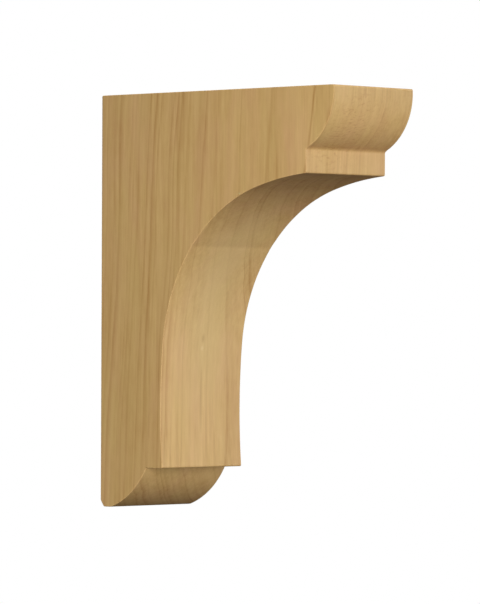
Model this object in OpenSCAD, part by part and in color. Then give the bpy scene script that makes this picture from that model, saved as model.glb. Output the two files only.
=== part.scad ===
// Corbel bracket sawn from one solid block of hardwood.
//
// The outline seen from the side is the same all the way across the width:
// a flat top and a flat back, a rounded moulding under the top's front edge,
// an upright fascia, a long cove sweeping back towards the wall, a square
// nose, and a small rounded foot below it.
//
// Millimetres. X runs across the width, -Y points out from the wall and +Z is
// up. The origin is the middle of the back, where the bracket meets the wall.

/* [Block] */
// Height of the bracket, from the foot's underside to the flat top
height = 267; // [256:1:330]
// How far the top reaches out from the wall
depth = 206; // [196:1:218]
// Width of the bracket, which is the thickness of the timber
width = 73; // [20:1:150]

/* [Top moulding] */
// How far the moulding overhangs the fascia below it
moulding_overhang = 23.5; // [10:0.5:34]
// Height of the moulding, from the fascia to the flat top
moulding_h = 39; // [20:1:42]
// Height of the upright lip above the moulding's curve
lip_h = 3; // [1:0.5:8]

/* [Cove] */
// Least thickness of the bracket, at the cove's throat
throat_depth = 55; // [50:0.5:60]
// Height of the throat above the foot's underside
throat_height = 64; // [50:0.5:70]
// Radius of the long, nearly straight lower stretch
low_r = 440; // [350:5:600]
// Angle that the lower stretch turns above the throat
low_turn = 5.5; // [4:0.5:8]
// Radius of the tight middle stretch
mid_r = 114; // [105:1:120]
// Angle that the middle stretch turns
mid_turn = 68.5; // [64:0.5:72]
// Radius of the flatter stretch that runs out to the fascia
high_r = 215; // [180:5:260]

/* [Nose and foot] */
// Height of the nose's flat underside above the foot's underside
nose_height = 26; // [20:0.5:30]
// How far the foot's top stands out from the wall
foot_depth = 42; // [32:0.5:50]
// Radius of the foot's rounded front
foot_r = 57; // [32:1:90]
// Depth of the flat that is left under the foot
foot_flat = 9.5; // [5:0.5:14]
// Depth of the bevel along the bottom of the back
bevel_depth = 3; // [0.5:0.5:4]
// Height of the bevel along the bottom of the back
bevel_height = 4; // [0.5:0.5:8]

/* [Hidden] */
// Sides of a full circle, and how far a cutter runs past what it cuts
$fn = 360;
over = 1;
// How far out the fascia stands
fascia_depth = depth - moulding_overhang;
// The moulding's curve leaves the lip upright and ends at the fascia
curve_h = moulding_h - lip_h;
moulding_r = (curve_h * curve_h + moulding_overhang * moulding_overhang) / (2 * moulding_overhang);
// Angle below the throat that the cove's lower stretch is sure to need
low_reach = 30;
// Centre of the foot's round: it passes through both ends of the front
foot_a = [foot_flat, 0];
foot_b = [foot_depth, nose_height];
foot_chord = norm(foot_b - foot_a);
foot_along = (foot_b - foot_a) / foot_chord;
foot_rise = sqrt(pow(foot_r, 2) - pow(foot_chord / 2, 2));
foot_c = (foot_a + foot_b) / 2 + foot_rise * [-foot_along.y, foot_along.x];

// A disc cut down to the wedge between two angles less than 180 degrees apart
module wedge(r, from, to) {
    reach = r / cos((to - from) / 2) + over;
    intersection() {
        circle(r);
        polygon([[0, 0], reach * [cos(from), sin(from)], reach * [cos(to), sin(to)]]);
    }
}

// The timber taken away in front of the cove. Each stretch starts where the
// last one ends, and in the same direction, so the next centre lies on the
// line from the last centre to the point where the two stretches join. The
// frame is turned at each join to have that line along its own X.
module cove_cut() {
    translate([throat_depth + low_r, throat_height]) rotate(180 - low_turn) {
        wedge(low_r, 0, low_reach);
        translate([low_r - mid_r, 0]) {
            circle(mid_r);
            rotate(-mid_turn) translate([mid_r - high_r, 0])
                wedge(high_r, low_turn + mid_turn - 180, 0);
        }
    }
}

// The block up to the fascia, with the cove cut out of its front
module body_outline() {
    difference() {
        translate([0, nose_height]) square([fascia_depth, height - nose_height]);
        cove_cut();
    }
}

// The rounded moulding and its lip, which stand out from the fascia
module moulding_outline() {
    intersection() {
        translate([fascia_depth - over, 0]) square([moulding_overhang + over, height]);
        union() {
            translate([depth, height - lip_h]) translate([-moulding_r, 0]) circle(moulding_r);
            translate([0, height - lip_h]) square([depth, lip_h]);
        }
    }
}

// The foot below the nose, with a rounded front and a bevel at the wall
module foot_outline() {
    difference() {
        intersection() {
            square([throat_depth, nose_height + over]);
            union() {
                translate(foot_c) circle(foot_r);
                square([foot_flat, nose_height + over]);
            }
        }
        polygon([[0, 0], [bevel_depth, 0], [0, bevel_height]]);
    }
}

module outline() {
    body_outline();
    moulding_outline();
    foot_outline();
}

// The whole bracket: one piece of timber, with one outline across its width
module corbel() {
    color("burlywood")
        translate([0, 0, -height / 2])
            rotate([90, 0, -90])
                linear_extrude(height = width, center = true) outline();
}

corbel();
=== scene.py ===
# %% [markdown]
# # A corbel in bare hardwood
# A corbel is the block that carries the end of a shelf, a mantel or a worktop.
# This one is sawn from a single thick board, so its side view is the same all
# the way across its width, and its grain runs straight up and down. The frame
# brings the block at its full size, with knife-sharp edges. This lesson makes
# the block again as one finely divided surface with eased edges, and gives it
# wood that goes all the way through, so that every cut face shows the figure
# that a saw would find there.

# %% Load the frame
import math
import bpy
import numpy as np
from mathutils import Matrix, Vector


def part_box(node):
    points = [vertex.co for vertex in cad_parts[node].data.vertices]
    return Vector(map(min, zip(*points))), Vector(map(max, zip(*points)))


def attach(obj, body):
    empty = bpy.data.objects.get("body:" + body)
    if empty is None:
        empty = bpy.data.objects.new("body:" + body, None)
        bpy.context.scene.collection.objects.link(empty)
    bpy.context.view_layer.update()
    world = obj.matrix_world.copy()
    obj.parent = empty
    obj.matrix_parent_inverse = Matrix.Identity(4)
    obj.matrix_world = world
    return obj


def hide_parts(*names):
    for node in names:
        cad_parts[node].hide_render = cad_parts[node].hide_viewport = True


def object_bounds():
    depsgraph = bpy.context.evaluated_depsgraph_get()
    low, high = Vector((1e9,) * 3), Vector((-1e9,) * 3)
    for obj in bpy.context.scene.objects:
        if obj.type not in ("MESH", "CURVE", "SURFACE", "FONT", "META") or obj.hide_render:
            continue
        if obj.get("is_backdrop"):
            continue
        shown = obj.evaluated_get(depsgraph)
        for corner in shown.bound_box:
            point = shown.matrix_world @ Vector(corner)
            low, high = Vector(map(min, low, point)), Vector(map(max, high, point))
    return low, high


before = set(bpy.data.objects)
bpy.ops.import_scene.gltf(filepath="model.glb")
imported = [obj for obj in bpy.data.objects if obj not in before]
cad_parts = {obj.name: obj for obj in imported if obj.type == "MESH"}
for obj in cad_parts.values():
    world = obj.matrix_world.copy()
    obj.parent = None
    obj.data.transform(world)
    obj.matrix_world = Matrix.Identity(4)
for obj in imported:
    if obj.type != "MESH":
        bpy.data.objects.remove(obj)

cad_low, cad_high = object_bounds()
MM = 0.001
low, high = (np.array(corner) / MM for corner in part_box("corbel"))
width, depth, height = high - low
print(f"the block is {width:.1f} wide, {depth:.1f} deep and {height:.1f} mm high")

# %% [markdown]
# ## The outline
# Seen from the side, the maker draws three kinds of line: straight cuts, the
# round of the top moulding and of the foot, and one long cove. The cove is
# three arcs, each starting where the last one stops and in the same direction,
# which is how it is set out with a compass. Points are pairs of reach, which is
# the distance out from the wall, and rise, which is the height above the foot.
# They run from the front of the top, down the front, to the back of the foot.

# %% Arcs and straight lines as points
def arc(centre, radius, start, end, spacing=1.0):
    """Points at centre + radius * (cos a, sin a), where the angle a goes evenly from start to end, in
    degrees."""
    count = max(4, math.ceil(radius * abs(math.radians(end - start)) / spacing) + 1)
    angle = np.radians(np.linspace(start, end, count))
    return np.asarray(centre) + radius * np.stack([np.cos(angle), np.sin(angle)], axis=1)


def straight(start, end, spacing=1.5):
    """Points at start + t * (end - start), with t going evenly from 0 to 1."""
    start, end = np.asarray(start, float), np.asarray(end, float)
    count = max(3, math.ceil(np.linalg.norm(end - start) / spacing) + 1)
    return start + np.linspace(0, 1, count)[:, None] * (end - start)


def turn(degrees):
    """The unit direction at that angle, counted from straight out of the wall."""
    return np.array([math.cos(math.radians(degrees)), math.sin(math.radians(degrees))])


# %% The moulding and the fascia
overhang, moulding_height, lip = 23.5, 39.0, 3.0
curve = moulding_height - lip
moulding_radius = (curve**2 + overhang**2) / (2 * overhang)
moulding_centre = np.array([depth - moulding_radius, height - lip])
fascia_reach = depth - overhang
fascia_top = np.array([fascia_reach, height - moulding_height])
moulding_end = -math.degrees(math.acos((fascia_reach - moulding_centre[0]) / moulding_radius))
print(f"the moulding's radius is {moulding_radius:.1f} mm and it turns {-moulding_end:.0f} degrees")

# %% The cove
throat = np.array([55.0, 64.0])
low_radius, middle_radius, high_radius = 440.0, 114.0, 215.0
low_end = 180 - 5.5
middle_end = low_end - 68.5
low_centre = throat + [low_radius, 0]
middle_centre = low_centre + (low_radius - middle_radius) * turn(low_end)
high_centre = middle_centre + (middle_radius - high_radius) * turn(middle_end)
nose_rise, foot_reach = 26.0, 42.0
high_start = math.degrees(math.acos((fascia_reach - high_centre[0]) / high_radius))
low_start = 180 + math.degrees(math.asin((low_centre[1] - nose_rise) / low_radius))
fascia_bottom = high_centre + high_radius * turn(high_start)
nose_tip = low_centre + low_radius * turn(low_start)
fascia_height = fascia_top[1] - fascia_bottom[1]
print(f"the fascia is {fascia_height:.1f} mm high, and the nose reaches {nose_tip[0]:.1f} mm out")

# %% The foot
foot_radius, foot_flat, bevel_reach, bevel_rise = 57.0, 9.5, 3.0, 4.0
foot_a, foot_b = np.array([foot_flat, 0.0]), np.array([foot_reach, nose_rise])
chord = np.linalg.norm(foot_b - foot_a)
along = (foot_b - foot_a) / chord
off_chord = math.sqrt(foot_radius**2 - (chord / 2) ** 2)
foot_centre = (foot_a + foot_b) / 2 + off_chord * np.array([-along[1], along[0]])
foot_angles = [math.degrees(math.atan2(*(p - foot_centre)[::-1])) for p in (foot_b, foot_a)]
print(f"the foot's round goes from {foot_angles[0]:.0f} to {foot_angles[1]:.0f} degrees")

# %% [markdown]
# ## Eased corners
# A sawn corner is sharp enough to cut, so each one is taken off with a few
# strokes of sandpaper. A bevel tool could round them, but the corners of the
# outline and the long side edges meet at every angle. It is simpler to round
# the outline itself: the corner is replaced by a short curve that leaves one
# side a little before the corner, and joins the other a little after it.

# %% Join the stretches, with a curve at each corner
# Two places closer than this, in millimetres, count as one.
TINY = 1e-6


def measured(points):
    """How far along the line each point lies: the running sum of the distances between neighbours."""
    return np.concatenate([[0], np.cumsum(np.linalg.norm(np.diff(points, axis=0), axis=1))])


def cut_back(points, before, after):
    """The line without its first `before` and last `after` millimetres."""
    run = measured(points)
    inside = (run > before + TINY) & (run < run[-1] - after - TINY)
    places = np.concatenate([[before], run[inside], [run[-1] - after]])
    return np.stack([np.interp(places, run, points[:, i]) for i in (0, 1)], axis=1)


def eased_line(stretches, setbacks, steps=7):
    """Joins stretches end to start. At a join whose setbacks are not 0, the corner becomes the quadratic
    curve (1-t)^2 * A + 2t(1-t) * corner + t^2 * B. A lies the first setback before the corner, and B the
    second setback after it."""
    setbacks = [(0, 0), *setbacks, (0, 0)]
    t = np.linspace(0, 1, steps + 1)[:, None]
    line = []
    for i, points in enumerate(stretches):
        trimmed = cut_back(points, setbacks[i][1], setbacks[i + 1][0])
        if i and any(setbacks[i]):
            corner, a, b = points[0], line[-1][-1], trimmed[0]
            line.append(((1 - t) ** 2 * a + 2 * t * (1 - t) * corner + t**2 * b)[1:-1])
        line.append(trimmed if not i or any(setbacks[i]) else trimmed[1:])
    return np.concatenate(line)


def from_top_to_foot(line):
    """The line from its last point at the height of the top to its first at the height of the underside."""
    start = np.flatnonzero(line[:, 1] > height - TINY)[-1]
    end = np.flatnonzero(line[:, 1] < TINY)[0]
    return line[start : end + 1]


# Setbacks in millimetres, before and after a corner.
sharp = (0, 0)
sanded = (1.3, 1.3)
wall_edge = (1.2, 1.2)
under_bevel = (0.6, 0.6)
under_moulding = (3.5, 1.2)
# How far apart the points lie, in millimetres. The shortest stretches need the closest points.
close, middling, even = 0.6, 0.8, 1.0
# Short tails along the top and the underside give the end corners something to turn from.
top_tail, foot_tail, wall_tail, bevel_tail = 6, 3, 4, 2
front = eased_line(
    [
        straight([depth - top_tail, height], [depth, height], close),
        straight([depth, height], [depth, height - lip], close),
        arc(moulding_centre, moulding_radius, 0, moulding_end),
        straight(fascia_top, fascia_bottom, even),
        arc(high_centre, high_radius, high_start, middle_end),
        arc(middle_centre, middle_radius, middle_end, low_end),
        arc(low_centre, low_radius, low_end, low_start),
        straight(nose_tip, foot_b, even),
        arc(foot_centre, foot_radius, *foot_angles),
        straight(foot_a, [foot_flat - foot_tail, 0], middling),
    ],
    [sanded, sharp, under_moulding, sanded, sharp, sharp, sanded, sharp, sanded],
)
front = from_top_to_foot(front)
back = eased_line(
    [
        straight([wall_tail, height], [0, height], close),
        straight([0, height], [0, bevel_rise]),
        straight([0, bevel_rise], [bevel_reach, 0], middling),
        straight([bevel_reach, 0], [bevel_reach + bevel_tail, 0], middling),
    ],
    [wall_edge, wall_edge, under_bevel],
)
back = from_top_to_foot(back)
print(f"{len(front)} points down the front and {len(back)} down the back")

# %% [markdown]
# ## The body as a grid
# The block could be one many-sided face pushed through its width, but that
# leaves long thin triangles on the sides, and nowhere to put a rounded rim. So
# the outline is paired up instead: each point down the front has a partner down
# the back at about the same height. A row of points between the two partners
# covers a side, and the ring of all the outline's points, repeated across the
# width, covers the edge. The ring shrinks a little at each rim, along a quarter
# circle, which eases the long edges.

# %% Partners down the back
def partners(front, back, slant=0.15):
    """One point down the back for each point down the front. Its height is the front point's own, mixed
    with a little (slant) of the share of the front that is already run. Under the nose the front is level,
    and there the mix keeps two points from having one height."""
    run = measured(front)
    share = run / run[-1]
    fallen = front[0, 1] - front[:, 1]
    wanted = (1 - slant) * fallen / (front[0, 1] - front[-1, 1]) + slant * share
    back_run = measured(back)
    return np.stack([np.interp(wanted * back_run[-1], back_run, back[:, i]) for i in (0, 1)], axis=1)


back = partners(front, back)
# The points of a row crowd a little towards both ends, where the edges are.
COLUMNS, CROWDING = 36, 0.6
crowded = 0.5 - 0.5 * np.cos(np.linspace(0, np.pi, COLUMNS))
across = CROWDING * crowded + (1 - CROWDING) * np.linspace(0, 1, COLUMNS)
outline_grid = back[:, None, :] + across[None, :, None] * (front - back)[:, None, :]
rows, columns = outline_grid.shape[:2]
print(f"a side has {rows} rows of {columns} points")

# %% The ring and its shrinking rim
def ring_of(grid):
    """The grid's outer points in order: along the top, down the front, back along the foot and up the
    back."""
    return np.concatenate([grid[0, :-1], grid[:-1, -1], grid[-1, :0:-1], grid[:0:-1, 0]])


def outward(ring, least=0.3):
    """At each point, the direction out of the outline whose shadow on both neighbouring edges' normals is
    1, so that moving every point along it moves every edge by the same amount. At a very sharp corner that
    direction would be very long, so what it is divided by stays above `least`."""
    edge = np.roll(ring, -1, axis=0) - ring
    normal = np.stack([-edge[:, 1], edge[:, 0]], axis=1)
    normal /= np.linalg.norm(normal, axis=1, keepdims=True)
    both = normal + np.roll(normal, 1, axis=0)
    return both / np.maximum((both * normal).sum(axis=1, keepdims=True), least)


ring = ring_of(outline_grid)
out = outward(ring)
# The rim's radius, and how far past the rim the first flat ring lies, in millimetres.
RIM, BESIDE = 0.35, 0.4
RIM_STEPS, FLAT_STEPS = 6, 44
rim_angle = np.radians(np.linspace(90, 0, RIM_STEPS))
rim_in = RIM * (1 - np.sin(rim_angle))
rim_shrink = RIM * (1 - np.cos(rim_angle))
plain = np.linspace(-1, 1, FLAT_STEPS)[1:-1] * (width / 2 - RIM)
places = np.concatenate([
    -width / 2 + rim_in,
    [-width / 2 + RIM + BESIDE],
    plain,
    [width / 2 - RIM - BESIDE],
    (width / 2 - rim_in)[::-1],
])
shrink = np.concatenate([rim_shrink, np.zeros(len(plain) + 2), rim_shrink[::-1]])
print(f"the ring has {len(ring)} points, repeated at {len(places)} places across the width")

# %% [markdown]
# ## Hand sanding
# No sanded face is quite flat. A cove is smoothed with a drum of sandpaper that
# the maker moves up and down by hand, and it leaves a slow wave that only a
# raking light finds. The wave here is a sum of three sines with lengths that do
# not fit into each other, so it never repeats. It only ever takes wood away, so
# the block stays inside its frame.

# %% The wave
WAVE = 0.03
# For each sine: the run and the place across, in millimetres, that turn it by one radian, and where it
# starts. A minus sign leans it the other way.
SINES = ((5.3, 19, 0), (8.9, -31, 1.3), (3.7, 47, 4.1))


def sanding(run, x):
    """How much wood is gone: the wave's depth times 1 plus the mean of the sines, of the run down the
    outline and of the place across the width. It lies between 0 and twice the wave's depth."""
    waves = sum(np.sin(run / down + x / aside + begin) for down, aside, begin in SINES)
    return WAVE * (1 + waves / len(SINES))


print(f"the wave takes up to {2 * WAVE:.2f} mm of wood away")


# %% [markdown]
# ## Where two cuts of the cove meet
# A straight line runs across the cove, and the light changes there all at once.
# It is made here as two cuts of a saw that meet at a slight angle, which sanding
# has not quite taken away. A few tenths of a millimetre are enough, if the faces
# on both sides of the line are flat for some way.

# %% The meeting line
MEETING_RISE, MEETING_DEPTH, MEETING_REACH = 168.0, 0.30, 8.5
meeting_turn = 180 - math.degrees(math.asin((MEETING_RISE - middle_centre[1]) / middle_radius))
meeting = middle_centre + middle_radius * turn(meeting_turn)


def flattened(points):
    """How much deeper the cut is than the arc: depth * (1 - d / reach)^2, where d is the distance to the
    line."""
    near = 1 - np.linalg.norm(points - meeting, axis=1) / MEETING_REACH
    return MEETING_DEPTH * np.maximum(near, 0) ** 2


print(f"the cuts meet {meeting[0]:.1f} mm out and {meeting[1]:.1f} mm up")


# %% Put the grid in place
# Only the front is sanded: 1 at the ring's points from the top edge down to the underside, and 0 elsewhere.
on_front = np.zeros(len(ring))
on_front[columns - 1 : columns + rows - 2] = 1


def placed(points, x):
    """Reach and rise, in millimetres, become a place in the frame: x across, the reach towards -Y, and the
    rise above the block's underside."""
    x = np.broadcast_to(x, points.shape[:-1])
    return np.stack([x, -points[..., 0], points[..., 1] + low[2]], axis=-1) * MM


def corbel_mesh():
    """The ring is repeated across the width, drawn in at each rim, and each side fills its last ring with
    rows of points between partners. Every face is a quad: two neighbours on one row and the same two on the
    next."""
    around = len(ring)
    index = np.full((rows, columns), -1)
    border = ring_of(np.stack(np.meshgrid(np.arange(rows), np.arange(columns), indexing="ij"), axis=-1))
    index[border[:, 0], border[:, 1]] = np.arange(around)
    drawn_in = (ring - out * RIM)[index]
    side_grid = drawn_in[:, :1] + across[None, :, None] * (drawn_in[:, -1:] - drawn_in[:, :1])
    inner = index < 0
    run = measured(ring)
    band = []
    for x, inset in zip(places, shrink):
        worn = (sanding(run, x) + flattened(ring)) * on_front * (1 - inset / RIM)
        band.append(placed(ring - out * (inset + worn)[:, None], x))
    vertices = [np.concatenate(band)]
    count = len(vertices[0])
    step = np.arange(len(places) - 1)[:, None] * around
    here, there = np.arange(around), np.roll(np.arange(around), -1)
    quads = np.stack([step + here, step + there, step + around + there, step + around + here], axis=-1)
    faces = [quads.reshape(-1, 4)]
    for side, ring_row in ((-1, 0), (1, len(places) - 1)):
        own = index + ring_row * around
        own[inner] = count + np.arange(inner.sum())
        vertices.append(placed(side_grid[inner], side * width / 2))
        count += inner.sum()
        quads = np.stack([own[:-1, :-1], own[1:, :-1], own[1:, 1:], own[:-1, 1:]], axis=-1).reshape(-1, 4)
        faces.append(quads if side < 0 else quads[:, ::-1])
    return np.concatenate(vertices), np.concatenate(faces)


def new_piece(name, vertices, faces, crease=40):
    """A mesh object at the origin, unturned. It is shaded smooth, except where two faces meet at a greater
    angle than the crease, in degrees."""
    mesh = bpy.data.meshes.new(name)
    mesh.from_pydata(vertices.tolist(), [], faces.tolist())
    mesh.shade_smooth()
    mesh.set_sharp_from_angle(angle=math.radians(crease))
    mesh.validate()
    piece = bpy.data.objects.new(name, mesh)
    bpy.context.scene.collection.objects.link(piece)
    return piece


vertices, faces = corbel_mesh()
corbel = new_piece("corbel_block", vertices, faces)
edges = np.sort(np.stack([faces, np.roll(faces, -1, axis=1)], axis=-1).reshape(-1, 2), axis=1)
uses = np.unique(edges, axis=0, return_counts=True)[1]
print(f"the corbel has {len(vertices)} points and {len(faces)} faces, and {(uses != 2).sum()} open edges")

# %% [markdown]
# ## Worn edges, with a painted highlight
# An edge that is sanded and then handled is burnished, and looks a little paler
# than the faces beside it. Here the paleness is also a painted highlight, where
# the rounded rims catch the light. The finish has to know where the edges are,
# so each point of the mesh carries a number called `eased`: 1 on the rounded
# rims and corners, falling to 0 within a couple of millimetres.

# %% Mark the eased edges
front_corners = [[depth, height], fascia_bottom, nose_tip, foot_a]
back_corners = [[0, height], [0, bevel_rise], [bevel_reach, 0]]
corners = np.array([*front_corners, *back_corners])
REACH = 1.6
FAR = 1e3


def eased(points):
    """For each point in millimetres, exp(-(d / REACH)^2), where d is its distance to the nearest outline
    corner or, if that is nearer, to the rim of a side. The points inside a side count as far from its
    rim."""
    outline = np.stack([-points[:, 1], points[:, 2] - low[2]], axis=1)
    corner = np.linalg.norm(outline[:, None, :] - corners, axis=2).min(axis=1)
    rim = np.full(len(points), FAR)
    band = len(places) * len(ring)
    rim[:band] = width / 2 - np.abs(points[:band, 0])
    return np.exp(-(np.minimum(corner, rim) / REACH) ** 2)


marks = corbel.data.attributes.new("eased", "FLOAT", "POINT")
edge_marks = eased(vertices / MM).astype(np.float32)
marks.data.foreach_set("value", edge_marks)
print(f"{(edge_marks > 0.5).sum()} points lie on an eased edge")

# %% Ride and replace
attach(corbel, "root")
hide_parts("corbel")

# %% [markdown]
# ## Building a finish from nodes
# A finish is a chain of small steps. One function adds a step to the chain. The
# colours are given as they look on a screen, and are turned into the amounts of
# light that the renderer reckons with.

# %% Two helpers for materials
def linear(hex_colour):
    """Each channel c of an sRGB hex colour becomes ((c + 0.055) / 1.055) ^ 2.4, or c / 12.92 where it is
    dark."""
    channels = np.array([int(hex_colour[i : i + 2], 16) for i in (1, 3, 5)]) / 255
    return (*np.where(channels > 0.04045, ((channels + 0.055) / 1.055) ** 2.4, channels / 12.92), 1.0)


def add(tree, kind, inputs=(), **settings):
    """Adds one node. Each setting is a property of the node. Each input gives a socket, by its name or
    number, a plain value, or the node or the output that feeds it."""
    node = tree.nodes.new("ShaderNode" + kind)
    for name, value in settings.items():
        setattr(node, name, value)
    for name, value in dict(inputs).items():
        if isinstance(value, bpy.types.Node):
            value = value.outputs[0]
        if isinstance(value, bpy.types.NodeSocket):
            tree.links.new(value, node.inputs[name])
        else:
            node.inputs[name].default_value = value
    return node


# %% [markdown]
# ## Hard maple, planed and sanded, with no finish on it
# Maple is a pale, even wood. What it shows is faint: yearly rings that end in a
# thin darker line, short fibres, small flecks where the rays of the tree lie in
# the cut face, and a darker end grain. The pattern is worked out in three
# dimensions, as in the tree. The heart of the trunk is a line that runs beside
# the block, and a ring is everything at the same distance from that line. So
# each face shows the figure that belongs to it, wide apart where it is cut along
# a ring and close together where it is cut across.

# %% Real sizes in the wood, in millimetres
# The heart of the tree stands here, in x and y. For each millimetre of height it moves over by LEAN in x.
HEART = (150.0, -225.0)
LEAN = 0.055
# A maple grows 1 to 4 mm a year, and this one grew fast.
RING = 3.4
# A fibre is a fiftieth of a millimetre thick and 1 mm long. It is drawn coarser than real, as a bundle of
# fibres. These are the bundle's thickness and length.
FIBRE = (0.9, 22.0)
# Streaks are threads of darker wood: their thickness and length. Bands are groups of fast or slow years.
STREAK = (2.6, 140.0)
BAND = 4.6
# The mottle is the cloudiness that sanding brings out: its size across and along the grain.
MOTTLE = (4.0, 11.0)
# Flecks are rays cut lengthwise, really 0.1 mm thick and under 1 mm tall. They are drawn coarser than real.
# The three sizes run out from the heart, round the tree and up.
FLECK = (4.0, 0.7, 2.2)
# The patch on the moulding where the flecks crowd: its middle and half sizes.
FLECKED = ((-12.0, -180, 105.0), (24.0, 60, 30.0))
# One dry summer left a darker ring: its distance from the heart, its half width, and how dark it is.
DRY_YEAR, DRY_HALF, DRY_DARK = 198.1, 0.45, 0.75
# The growth wanders in long bends and short ripples: their size across and along the grain, and how far
# they go.
BEND, BEND_BY = (95, 260), 9
RIPPLE, RIPPLE_BY = (16, 110), 2
# The rings' widths drift over this distance, by up to this many rings.
DRIFT, DRIFT_BY = 13, 3.0
# The clouds of colour: their size across and along the grain.
CLOUD = (20, 75)
# Places with their own colour: the middle, the half sizes, the strength and the shade. They are a broad
# straw tint through the middle of the board, a pin knot in the cove, the pale wood that closed over it, and
# the dark streak below it.
OWN_COLOUR = (
    ((0.0, -90, 5.0), (46.0, 110, 125.0), 0.50, "#CFB782"),
    ((0.0, -57, -24.0), (2.6, 9, 4.5), 0.30, "#8F6A3A"),
    ((-0.6, -57, -30.5), (2.0, 9, 2.4), 0.60, "#DCC08C"),
    ((0.2, -57, -64.0), (1.9, 9, 34.0), 0.32, "#96713F"),
)

wood = bpy.data.materials.new("hard_maple_planed_and_sanded")
wood.use_nodes = True
tree = wood.node_tree
surface = tree.nodes["Principled BSDF"]

# %% Where a point lies in the tree
def per(size):
    """One part of a pattern for each such size in millimetres, given across and along the grain: 1 /
    size."""
    return (1 / size[0], 1 / size[0], 1 / size[1])


mm = add(tree, "VectorMath", {0: add(tree, "TexCoord").outputs["Object"], "Scale": 1 / MM}, operation="SCALE")
grown = mm
# Noise lies between 0 and 1, so it becomes a push of up to `most` millimetres either way, across the grain
# only.
for size, most, detail in ((BEND, BEND_BY, 1.0), (RIPPLE, RIPPLE_BY, 2.0)):
    push = add(tree, "VectorMath", {0: mm, 1: per(size)}, operation="MULTIPLY")
    push = add(tree, "TexNoise", {"Vector": push, "Scale": 1.0, "Detail": detail, "Roughness": 0.5})
    spread = {1: (2 * most, 2 * most, 0), 2: (-most, -most, 0)}
    push = add(tree, "VectorMath", {0: push.outputs["Color"], **spread}, operation="MULTIPLY_ADD")
    grown = add(tree, "VectorMath", {0: grown, 1: push}, operation="ADD")
axes = add(tree, "SeparateXYZ", {0: grown})
heart_x = add(tree, "Math", {0: axes.outputs["Z"], 1: LEAN, 2: HEART[0]}, operation="MULTIPLY_ADD")
from_x = add(tree, "Math", {0: axes.outputs["X"], 1: heart_x}, operation="SUBTRACT")
from_y = add(tree, "Math", {0: axes.outputs["Y"], 1: HEART[1]}, operation="SUBTRACT")
from_heart = add(tree, "CombineXYZ", {0: from_x, 1: from_y})
radius = add(tree, "VectorMath", {0: from_heart}, operation="LENGTH").outputs["Value"]
angle = add(tree, "Math", {0: from_y, 1: from_x}, operation="ARCTAN2")

# %% Rings of uneven width, each as dark as its own year made it
# A ring darkens towards the year's end as season^LATE, and fades out again from WINTER to the end of the
# year. A year's own darkness is chance^RARE, so that dark years are a little rarer than pale ones.
LATE, WINTER, RARE = 2.6, 0.78, 1.3
uneven = add(tree, "Math", {0: radius, 1: 1 / DRIFT}, operation="MULTIPLY")
uneven = add(tree, "TexNoise", {"W": uneven, "Scale": 1.0, "Detail": 1.0}, noise_dimensions="1D")
years = add(tree, "Math", {0: radius, 1: 1 / RING}, operation="MULTIPLY")
years = add(tree, "Math", {0: uneven, 1: DRIFT_BY, 2: years}, operation="MULTIPLY_ADD")
year = add(tree, "Math", {0: years}, operation="FLOOR")
season = add(tree, "Math", {0: years}, operation="FRACT")
chance = add(tree, "TexWhiteNoise", {"W": year}, noise_dimensions="1D").outputs["Value"]
chance = add(tree, "Math", {0: chance, 1: RARE}, operation="POWER")
late = add(tree, "Math", {0: season, 1: LATE}, operation="POWER")
fading = {1: WINTER, 2: 1.0, 3: 1.0, 4: 0.0}
winter = add(tree, "MapRange", {0: season, **fading}, interpolation_type="SMOOTHSTEP")
late = add(tree, "Math", {0: late, 1: winter}, operation="MULTIPLY")
rings = add(tree, "Math", {0: late, 1: chance}, operation="MULTIPLY")
dry = add(tree, "Math", {0: radius, 1: DRY_YEAR}, operation="SUBTRACT")
dry = add(tree, "Math", {0: dry}, operation="ABSOLUTE")
dry = add(tree, "MapRange", {0: dry, 1: 0.0, 2: DRY_HALF, 3: DRY_DARK, 4: 0.0})
rings = add(tree, "Math", {0: rings, 1: dry}, operation="MAXIMUM")

# %% How squarely a face looks along the rings
# Flat_sawn is the part of a face's direction that points at the heart or away from it. A face is wholly
# quartered up to the first value of it, and not at all from the second.
QUARTERED = (0.1, 0.75)
# The crowd of flecks is full out to the first share of its half sizes, and thins to LEAST at the second.
CROWD, LEAST = (0.3, 1.3), 0.45
# On a quartered face, rings, bands and streaks lose up to this share, and most where the flecks crowd.
PLAINER = 0.75
normal = add(tree, "NewGeometry").outputs["Normal"]
outwards = add(tree, "VectorMath", {0: from_heart}, operation="NORMALIZE")
flat_sawn = add(tree, "VectorMath", {0: normal, 1: outwards}, operation="DOT_PRODUCT").outputs["Value"]
flat_sawn = add(tree, "Math", {0: flat_sawn}, operation="ABSOLUTE")
quartered = add(tree, "MapRange", {0: flat_sawn, 1: QUARTERED[0], 2: QUARTERED[1], 3: 1.0, 4: 0.0})
clump = add(tree, "VectorMath", {0: mm, 1: FLECKED[0]}, operation="SUBTRACT")
clump = add(tree, "VectorMath", {0: clump, 1: [1 / s for s in FLECKED[1]]}, operation="MULTIPLY")
clump = add(tree, "VectorMath", {0: clump}, operation="LENGTH").outputs["Value"]
thinning = {1: CROWD[0], 2: CROWD[1], 3: 1.0, 4: LEAST}
clump = add(tree, "MapRange", {0: clump, **thinning}, interpolation_type="SMOOTHSTEP")
plain_wood = add(tree, "Math", {0: clump, 1: quartered}, operation="MULTIPLY")
plain_wood = add(tree, "Math", {0: plain_wood, 1: -PLAINER, 2: 1.0}, operation="MULTIPLY_ADD")
rings = add(tree, "Math", {0: rings, 1: plain_wood}, operation="MULTIPLY")

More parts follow.
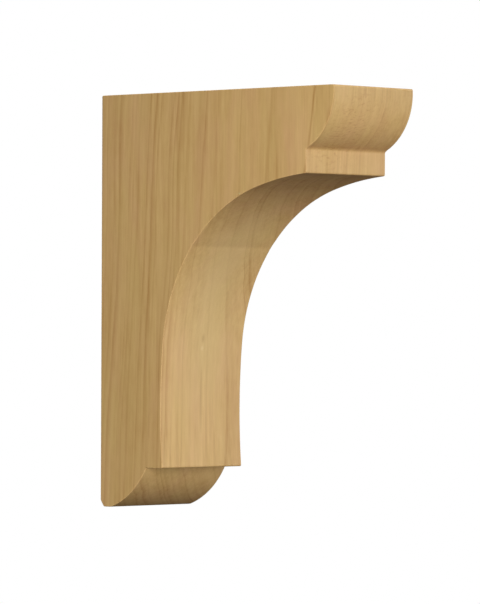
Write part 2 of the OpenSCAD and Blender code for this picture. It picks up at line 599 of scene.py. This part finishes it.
# %% Fibres, streaks and bands
fibre = add(tree, "VectorMath", {0: mm, 1: per(FIBRE)}, operation="MULTIPLY")
fibre = add(tree, "TexNoise", {"Vector": fibre, "Scale": 1.0, "Detail": 2.0, "Roughness": 0.6})
streak = add(tree, "VectorMath", {0: grown, 1: per(STREAK)}, operation="MULTIPLY")
streak = add(tree, "TexNoise", {"Vector": streak, "Scale": 1.0, "Detail": 2.0, "Roughness": 0.5})
band = add(tree, "Math", {0: radius, 1: 1 / BAND}, operation="MULTIPLY")
band = add(tree, "TexNoise", {"W": band, "Scale": 1.0, "Detail": 2.0}, noise_dimensions="1D")
# Bands and streaks go both ways from the wood's mean, so the middle of their noise is taken off.
band = add(tree, "Math", {0: band, 1: 0.5}, operation="SUBTRACT")
band = add(tree, "Math", {0: band, 1: plain_wood}, operation="MULTIPLY")
streak = add(tree, "Math", {0: streak, 1: 0.5}, operation="SUBTRACT")
streak = add(tree, "Math", {0: streak, 1: plain_wood}, operation="MULTIPLY")
mottle = add(tree, "VectorMath", {0: mm, 1: per(MOTTLE)}, operation="MULTIPLY")
mottle = add(tree, "TexNoise", {"Vector": mottle, "Scale": 1.0, "Detail": 2.0, "Roughness": 0.6})

# %% How dark the wood is at a point, from 0 to 1
# The sum of the patterns starts below 0, so that the palest wood shows none of them.
BELOW = -0.075
PALE_WOOD, DARK_WOOD = "#D4B073", "#9E6E33"
# End grain is where the face looks up or down: the height part of its normal, to this power. It is darker.
END_POWER, END_DARKER = 4.0, 0.7
# How much each pattern darkens the wood where it is full.
SHARES = ((rings, 0.72), (band, 0.54), (streak, 0.50), (fibre, 0.36), (mottle, 0.26))
tone = BELOW
for pattern, share in SHARES:
    tone = add(tree, "Math", {0: pattern, 1: share, 2: tone}, operation="MULTIPLY_ADD")
tone = add(tree, "Math", {0: tone, 1: 0.0}, operation="MAXIMUM")
upright = add(tree, "Math", {0: add(tree, "SeparateXYZ", {0: normal}).outputs["Z"]}, operation="ABSOLUTE")
end_grain = add(tree, "Math", {0: upright, 1: END_POWER}, operation="POWER")
stronger = add(tree, "Math", {0: end_grain, 1: END_DARKER, 2: 1.0}, operation="MULTIPLY_ADD")
tone = add(tree, "Math", {0: tone, 1: stronger}, operation="MULTIPLY")
colour = add(tree, "Mix", {"Factor": tone, 6: linear(PALE_WOOD), 7: linear(DARK_WOOD)}, data_type="RGBA")

# %% Clouds of pink and of straw yellow
PINK, STRAW = "#D6A87C", "#CFB170"
# A cloud starts at the first value of the noise, and has the most colour from the second.
CLOUDED, CLOUD_MOST = (0.42, 0.70), 0.36
for tint, shift in ((PINK, 0), (STRAW, 70)):
    cloud = add(tree, "VectorMath", {0: grown, 1: per(CLOUD), 2: (shift,) * 3}, operation="MULTIPLY_ADD")
    cloud = add(tree, "TexNoise", {"Vector": cloud, "Scale": 1.0, "Detail": 3.0, "Roughness": 0.6})
    cloud = add(tree, "MapRange", {0: cloud, 1: CLOUDED[0], 2: CLOUDED[1], 3: 0.0, 4: CLOUD_MOST})
    colour = add(tree, "Mix", {"Factor": cloud, 6: colour.outputs[2], 7: linear(tint)}, data_type="RGBA")

# %% Ray flecks
RAY = "#A36F38"
# A fleck starts at the first value of the noise, and is strongest from the second.
RAYED, RAY_MOST = (0.54, 0.70), 0.45
across_grain = add(tree, "Math", {0: radius, 1: 1 / FLECK[0]}, operation="MULTIPLY")
round_grain = add(tree, "Math", {0: angle, 1: -HEART[1] / FLECK[1]}, operation="MULTIPLY")
up_grain = add(tree, "Math", {0: axes.outputs["Z"], 1: 1 / FLECK[2]}, operation="MULTIPLY")
fleck = add(tree, "CombineXYZ", {0: across_grain, 1: round_grain, 2: up_grain})
fleck = add(tree, "TexNoise", {"Vector": fleck, "Scale": 1.0, "Detail": 1.0})
fleck = add(tree, "MapRange", {0: fleck, 1: RAYED[0], 2: RAYED[1], 3: 0.0, 4: RAY_MOST})
fleck = add(tree, "Math", {0: fleck, 1: quartered}, operation="MULTIPLY")
crowd = add(tree, "Math", {0: clump, 1: 2.0}, operation="POWER")
fleck = add(tree, "Math", {0: fleck, 1: crowd}, operation="MULTIPLY")
colour = add(tree, "Mix", {"Factor": fleck, 6: colour.outputs[2], 7: linear(RAY)}, data_type="RGBA")

# %% The straw tint, and the pin knot with the dark streak below it
# Each is strongest in its middle, and fades to nothing at its half sizes.
for middle, size, strength, shade in OWN_COLOUR:
    spot = add(tree, "VectorMath", {0: mm, 1: middle}, operation="SUBTRACT")
    spot = add(tree, "VectorMath", {0: spot, 1: [1 / s for s in size]}, operation="MULTIPLY")
    spot = add(tree, "VectorMath", {0: spot}, operation="LENGTH").outputs["Value"]
    fading = {1: 0.0, 2: 1.0, 3: strength, 4: 0.0}
    spot = add(tree, "MapRange", {0: spot, **fading}, interpolation_type="SMOOTHSTEP")
    colour = add(tree, "Mix", {"Factor": spot, 6: colour.outputs[2], 7: linear(shade)}, data_type="RGBA")

# %% End grain drinks more light and is browned further as painted shade, and eased edges are paler, partly burnished and partly a painted highlight
# Faces that look up or down take a darker, browner colour. Part of it is the wood's own darker end grain.
# Part is painted shade: the brown is deeper and more saturated than end grain alone, so that the upper cove
# and the lower foot look shadowed.
END_WOOD_AND_SHADE, END_AND_SHADE_SHARE = "#8A5A26", 0.40
# The pale edge colour is partly burnish and partly a painted highlight on the rounded rims.
BURNISHED_AND_HIGHLIGHT, WORN_AND_HIGHLIGHT_SHARE = "#E2C592", 0.03
end_grain_and_painted_shade = add(tree, "Math", {0: end_grain, 1: END_AND_SHADE_SHARE}, operation="MULTIPLY")
colour = add(tree, "Mix", {"Factor": end_grain_and_painted_shade, 6: colour.outputs[2], 7: linear(END_WOOD_AND_SHADE)}, data_type="RGBA")
# Where the edges are eased, the colour is lifted towards the pale edge colour: burnish together with a
# painted highlight.
worn = add(tree, "Attribute", attribute_name="eased").outputs["Fac"]
worn = add(tree, "Math", {0: worn, 1: WORN_AND_HIGHLIGHT_SHARE}, operation="MULTIPLY")
colour = add(tree, "Mix", {"Factor": worn, 6: colour.outputs[2], 7: linear(BURNISHED_AND_HIGHLIGHT)}, data_type="RGBA")
tree.links.new(colour.outputs[2], surface.inputs["Base Color"])

# %% Sheen and relief
# Bare sanded wood is dull. The fibres vary it, from SMOOTHEST to ROUGHEST, and end grain is duller still.
SMOOTHEST, ROUGHEST, END_ROUGHER = 0.52, 0.68, 0.3
# Dark fibres and ring lines lie lower than the rest. A ring line counts for RING_RELIEF of a fibre, and the
# relief is RELIEF_MM deep, of which the renderer takes RELIEF_SHARE.
RING_RELIEF, RELIEF_MM, RELIEF_SHARE = 0.2, 0.03, 0.5
# Wood is mostly cellulose, which bends light about as much as this.
WOOD_IOR = 1.5
gloss = add(tree, "MapRange", {0: fibre, 1: 0.3, 2: 0.7, 3: SMOOTHEST, 4: ROUGHEST})
gloss = add(tree, "Math", {0: end_grain, 1: END_ROUGHER, 2: gloss}, operation="MULTIPLY_ADD", use_clamp=True)
tree.links.new(gloss.outputs[0], surface.inputs["Roughness"])
relief = add(tree, "Math", {0: rings, 1: RING_RELIEF, 2: fibre}, operation="MULTIPLY_ADD")
depth_of_relief = {"Strength": RELIEF_SHARE, "Distance": RELIEF_MM * MM}
bump = add(tree, "Bump", {"Height": relief, **depth_of_relief}, invert=True)
tree.links.new(bump.outputs[0], surface.inputs["Normal"])
surface.inputs["IOR"].default_value = WOOD_IOR
corbel.data.materials.append(wood)
print(f"the wood takes {len(tree.nodes)} nodes")

# %% [markdown]
# ## The camera
# The corbel is seen from its front left corner at about the height of its middle,
# by a long lens from a few metres away, so that its upright lines stay close to
# upright.

# %% Aim the camera
# The turn, the tilt and the roll are given in degrees, and the distance in metres. The distance is what
# gives the view its depth. The two shifts, in millimetres, move the point looked at off the block's middle,
# to the left and down. The lens and the sensor are in millimetres too.
LENS, SENSOR = 259.20, 36
centre = Vector((np.array(cad_low) + cad_high) / 2)
turned, raised, rolled = math.radians(45.808), math.radians(-0.3576), math.radians(0.2142)
look = Vector((math.sin(turned) * math.cos(raised), math.cos(turned) * math.cos(raised), -math.sin(raised)))
right = Matrix.Rotation(-rolled, 3, look) @ look.cross(Vector((0, 0, 1))).normalized()
up = right.cross(look)
distance = 2.78126
shift_left, shift_down = 9.1465, 0.6017
aim = centre - right * shift_left * MM - up * shift_down * MM
camera = bpy.data.objects.new("camera", bpy.data.cameras.new("camera"))
bpy.context.scene.collection.objects.link(camera)
facing = Matrix((right, up, -look)).transposed().to_4x4()
camera.matrix_world = Matrix.Translation(aim - look * distance) @ facing
camera.data.lens = LENS
camera.data.sensor_width = SENSOR
bpy.context.scene.camera = camera
print("the camera stands at", [round(v / MM) for v in camera.location])

# %% [markdown]
# ## The studio
# The studio is a white room with no walls: the background is pure white to the
# camera, but gives off almost no light. The light comes from five softboxes and
# from straight above. The key light stands level with the block at its front
# left, so it only grazes the upper part of the cove, which faces down, and
# leaves it dark.

# %% Background
AMBIENT = 0.006
world = bpy.data.worlds.new("studio")
bpy.context.scene.world = world
world.use_nodes = True
tree = world.node_tree
dim = tree.nodes["Background"]
dim.inputs["Color"].default_value = (1, 1, 1, 1)
dim.inputs["Strength"].default_value = AMBIENT
white = add(tree, "Background", {"Color": (1, 1, 1, 1), "Strength": 1.0})
seen = add(tree, "LightPath").outputs["Is Camera Ray"]
either = add(tree, "MixShader", {0: seen, 1: dim, 2: white})
tree.links.new(either.outputs[0], tree.nodes["World Output"].inputs[0])
bpy.context.scene.view_settings.view_transform = "Standard"


# %% Softboxes
def softbox(name, azimuth, elevation, away, size, watts):
    """A square light, `away` metres from the block's middle and facing it. Its azimuth counts from straight
    in front towards the block's left side."""
    light = bpy.data.lights.new(name, "AREA")
    light.size = size
    light.energy = watts
    a, e = math.radians(azimuth), math.radians(elevation)
    way = Vector((-math.sin(a) * math.cos(e), -math.cos(a) * math.cos(e), math.sin(e)))
    box = bpy.data.objects.new(name, light)
    towards = way.to_track_quat("Z", "Y").to_matrix().to_4x4()
    box.matrix_world = Matrix.Translation(centre + way * away) @ towards
    bpy.context.scene.collection.objects.link(box)


# Name, azimuth and elevation in degrees, distance and width in metres, and power in watts.
softbox("key_light", 47, 0, 1.6, 0.9, 28)
softbox("low_key_light", 20, -12, 1.7, 0.6, 4.0)
softbox("far_side_light", -75, 5, 2.0, 0.6, 18)
softbox("far_high_light", -75, 35, 2.0, 0.6, 6)
softbox("back_light", -165, 15, 3.0, 1.5, 45)

# %% Light from straight above
# The strength is in watts on each square metre. The angle, in degrees, is how wide the light looks from
# below.
CEILING, CEILING_ANGLE = 2.6, 4
sky = bpy.data.lights.new("ceiling_light", "SUN")
sky.energy = CEILING
sky.angle = math.radians(CEILING_ANGLE)
bpy.context.scene.collection.objects.link(bpy.data.objects.new("ceiling_light", sky))

# %% [markdown]
# ## The floor
# The corbel hangs high in a tall studio, so the floor is a long way down, and
# leaves room to look at the block from below. It is a round sheet of pale paper.
# It fades out before its rim, so that it has no edge against the white. Paper
# that is lit from above throws light back up, and would take the shadow out of
# the cove, so the paper is pale only where the camera looks straight at it, and
# dark grey to every other ray of light.

# %% A round sheet of paper
# All in metres: how far below the block's middle the floor lies, its radius, and where its fade starts and
# ends.
FLOOR_DROP, FLOOR_RADIUS = 3.2, 12.0
FADE_FROM, FADE_TO = 2.0, 7.0
FLOOR_SIDES = 96
PAPER, PAPER_UNSEEN, PAPER_ROUGHNESS = "#F4F3F0", "#2E2E2D", 0.9
turns = np.linspace(0, 2 * np.pi, FLOOR_SIDES, endpoint=False)
disc = np.stack([np.cos(turns), np.sin(turns), 0 * turns], axis=1) * FLOOR_RADIUS - [0, 0, FLOOR_DROP]
floor = bpy.data.objects.new("floor", bpy.data.meshes.new("floor"))
floor.data.from_pydata(disc.tolist(), [], [range(len(disc))])
bpy.context.scene.collection.objects.link(floor)
paper = bpy.data.materials.new("matt_paper")
paper.use_nodes = True
tree = paper.node_tree
seen = add(tree, "LightPath").outputs["Is Camera Ray"]
sheet = add(tree, "Mix", {"Factor": seen, 6: linear(PAPER_UNSEEN), 7: linear(PAPER)}, data_type="RGBA")
surface = tree.nodes["Principled BSDF"]
surface.inputs["Roughness"].default_value = PAPER_ROUGHNESS
tree.links.new(sheet.outputs[2], surface.inputs["Base Color"])
where = add(tree, "TexCoord").outputs["Object"]
flat = add(tree, "VectorMath", {0: where, 1: (1, 1, 0)}, operation="MULTIPLY")
outside = add(tree, "VectorMath", {0: flat}, operation="LENGTH").outputs["Value"]
fading = {1: FADE_FROM, 2: FADE_TO, 3: 1.0, 4: 0.0}
fade = add(tree, "MapRange", {0: outside, **fading}, interpolation_type="SMOOTHSTEP")
tree.links.new(fade.outputs[0], surface.inputs["Alpha"])
floor.data.materials.append(paper)
floor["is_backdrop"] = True

# %% [markdown]
# ## Check the size
# The eased block has to fill the frame's own box to within a few hundredths of a
# millimetre, and may not pass it.

# %% Compare the boxes
new_low, new_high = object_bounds()
sides = zip([*cad_low, *cad_high], [*new_low, *new_high])
print("the boxes differ by", [round((new - old) / MM, 3) for old, new in sides], "mm")
